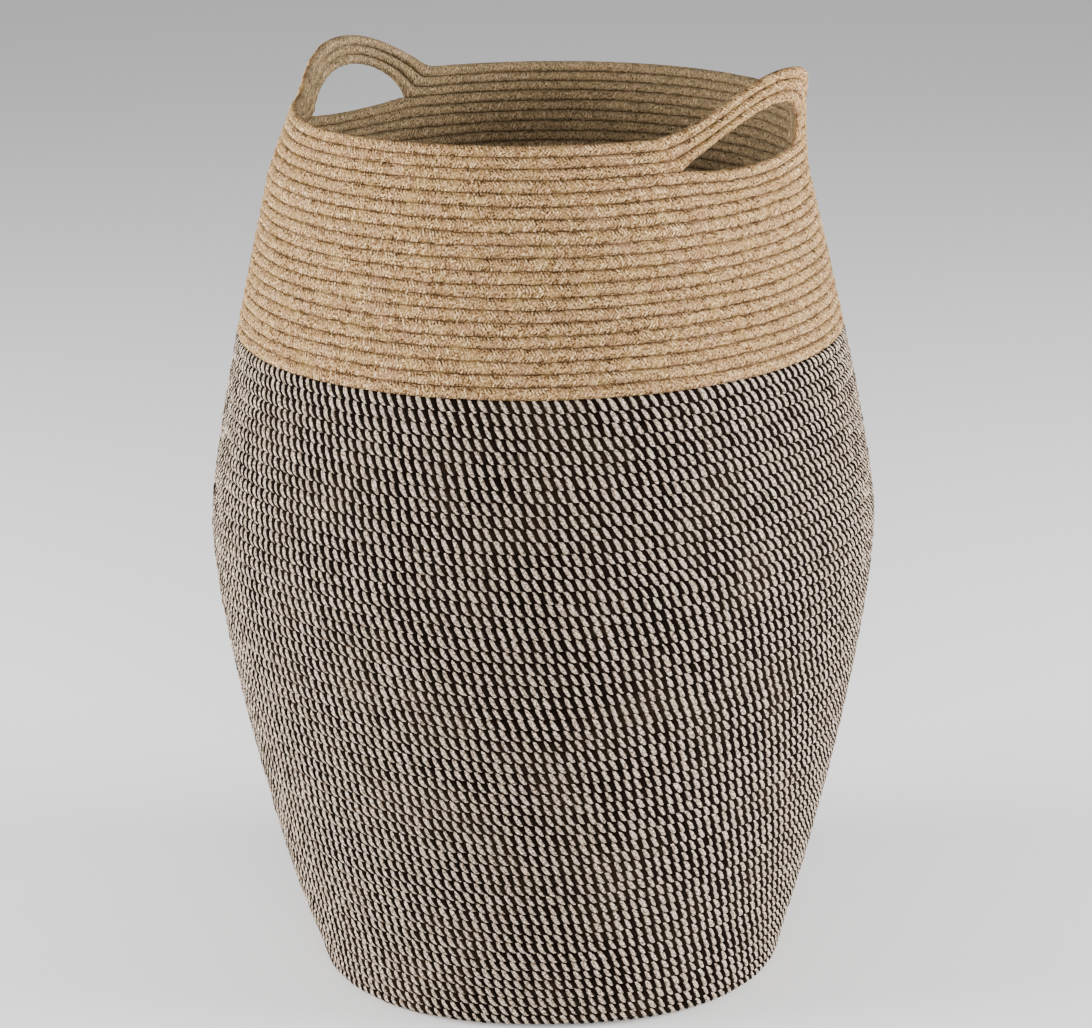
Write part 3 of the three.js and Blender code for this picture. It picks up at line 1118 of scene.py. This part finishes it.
class HAMPER_OT_stage(Operator):
    """Sets up the floor, the soft studio light and the camera."""

    bl_idname = "hamper.stage"
    bl_label = "Stage"

    def execute(self, context):
        finish = context.scene.hamper_finish
        deselect_all()
        bpy.ops.mesh.primitive_plane_add(size=FLOOR_SIZE, location=(0.0, 0.0, -FLOOR_GAP))
        floor = bpy.context.object
        floor.name = "studio_floor"
        sheet = Sheet("Studio floor")
        grain = sheet.noise(sheet.place(), 6.0, 2.0)
        base = sheet.mix(grain * 0.05, finish.floor, FLOOR_GRAIN)
        sheet.put(sheet.shader.inputs["Base Color"], base)
        sheet.shader.inputs["Roughness"].default_value = 0.9
        sheet.shader.inputs["Specular IOR Level"].default_value = 0.1
        floor.data.materials.append(sheet.material)

        world = bpy.data.worlds.new("Studio")
        world.use_nodes = True
        background = world.node_tree.nodes["Background"]
        background.inputs["Color"].default_value = (1.0, 1.0, 1.0, 1.0)
        background.inputs["Strength"].default_value = WORLD_STRENGTH
        context.scene.world = world

        for light in LIGHTS:
            self.add_light(*light)
        self.add_camera(context)
        return {"FINISHED"}

    def add_light(self, name, turn, distance, height, size, power):
        """A square soft light that looks at the middle of the hamper."""
        angle = FACING + turn
        place = Vector((distance * math.cos(angle), distance * math.sin(angle), height))
        aim = Vector(LIGHTS_AIM) - place
        bpy.ops.object.light_add(
            type="AREA", location=place, rotation=aim.to_track_quat("-Z", "Y").to_euler()
        )
        light = bpy.context.object
        light.name = name
        light.data.shape = "SQUARE"
        light.data.size = size
        light.data.energy = power

    def add_camera(self, context):
        """A long lens, a little above the hamper, looking slightly down."""
        level = Vector((math.cos(CAMERA_HEADING), math.sin(CAMERA_HEADING), 0.0))
        forward = Vector((
            -math.sin(CAMERA_HEADING) * math.cos(CAMERA_DOWN),
            math.cos(CAMERA_HEADING) * math.cos(CAMERA_DOWN),
            -math.sin(CAMERA_DOWN),
        ))
        upright = level.cross(forward)
        right = level * math.cos(CAMERA_ROLL) + upright * math.sin(CAMERA_ROLL)
        up = upright * math.cos(CAMERA_ROLL) - level * math.sin(CAMERA_ROLL)
        bpy.ops.object.camera_add(location=CAMERA_PLACE)
        camera = bpy.context.object
        turn = Matrix((right, up, -forward)).transposed()
        camera.rotation_euler = turn.to_euler()
        camera.data.lens = CAMERA_LENS
        camera.data.sensor_width = SENSOR_WIDTH
        context.scene.camera = camera


class HAMPER_PT_panel(Panel):
    """The hamper's steps and settings, in the sidebar of the 3D view."""

    bl_idname = "HAMPER_PT_panel"
    bl_label = "Coiled rope hamper"
    bl_space_type = "VIEW_3D"
    bl_region_type = "UI"
    bl_category = "Hamper"

    def draw(self, context):
        for step in STEPS:
            self.layout.operator(step.bl_idname)
        for group in ("hamper_shape", "hamper_rope", "hamper_finish"):
            settings = getattr(context.scene, group)
            box = self.layout.box()
            for name in settings.__annotations__:
                box.prop(settings, name)


STEPS = (
    HAMPER_OT_stage,
    HAMPER_OT_base,
    HAMPER_OT_two_tone_wall,
    HAMPER_OT_jute_wall,
    HAMPER_OT_handles,
)
SETTINGS = (
    ("hamper_shape", HamperShape),
    ("hamper_rope", HamperRope),
    ("hamper_finish", HamperFinish),
)


def register():
    """Adds the settings, the steps and the panel."""
    for name, group in SETTINGS:
        bpy.utils.register_class(group)
        setattr(bpy.types.Scene, name, PointerProperty(type=group))
    for step in STEPS:
        bpy.utils.register_class(step)
    bpy.utils.register_class(HAMPER_PT_panel)


def unregister():
    """Removes them again."""
    bpy.utils.unregister_class(HAMPER_PT_panel)
    for step in reversed(STEPS):
        bpy.utils.unregister_class(step)
    for name, group in reversed(SETTINGS):
        delattr(bpy.types.Scene, name)
        bpy.utils.unregister_class(group)


def main():
    """Winds the whole hamper."""
    register()
    bpy.ops.hamper.stage()
    bpy.ops.hamper.base()
    bpy.ops.hamper.two_tone_wall()
    bpy.ops.hamper.jute_wall()
    bpy.ops.hamper.handles()


if __name__ == "__main__":
    main()
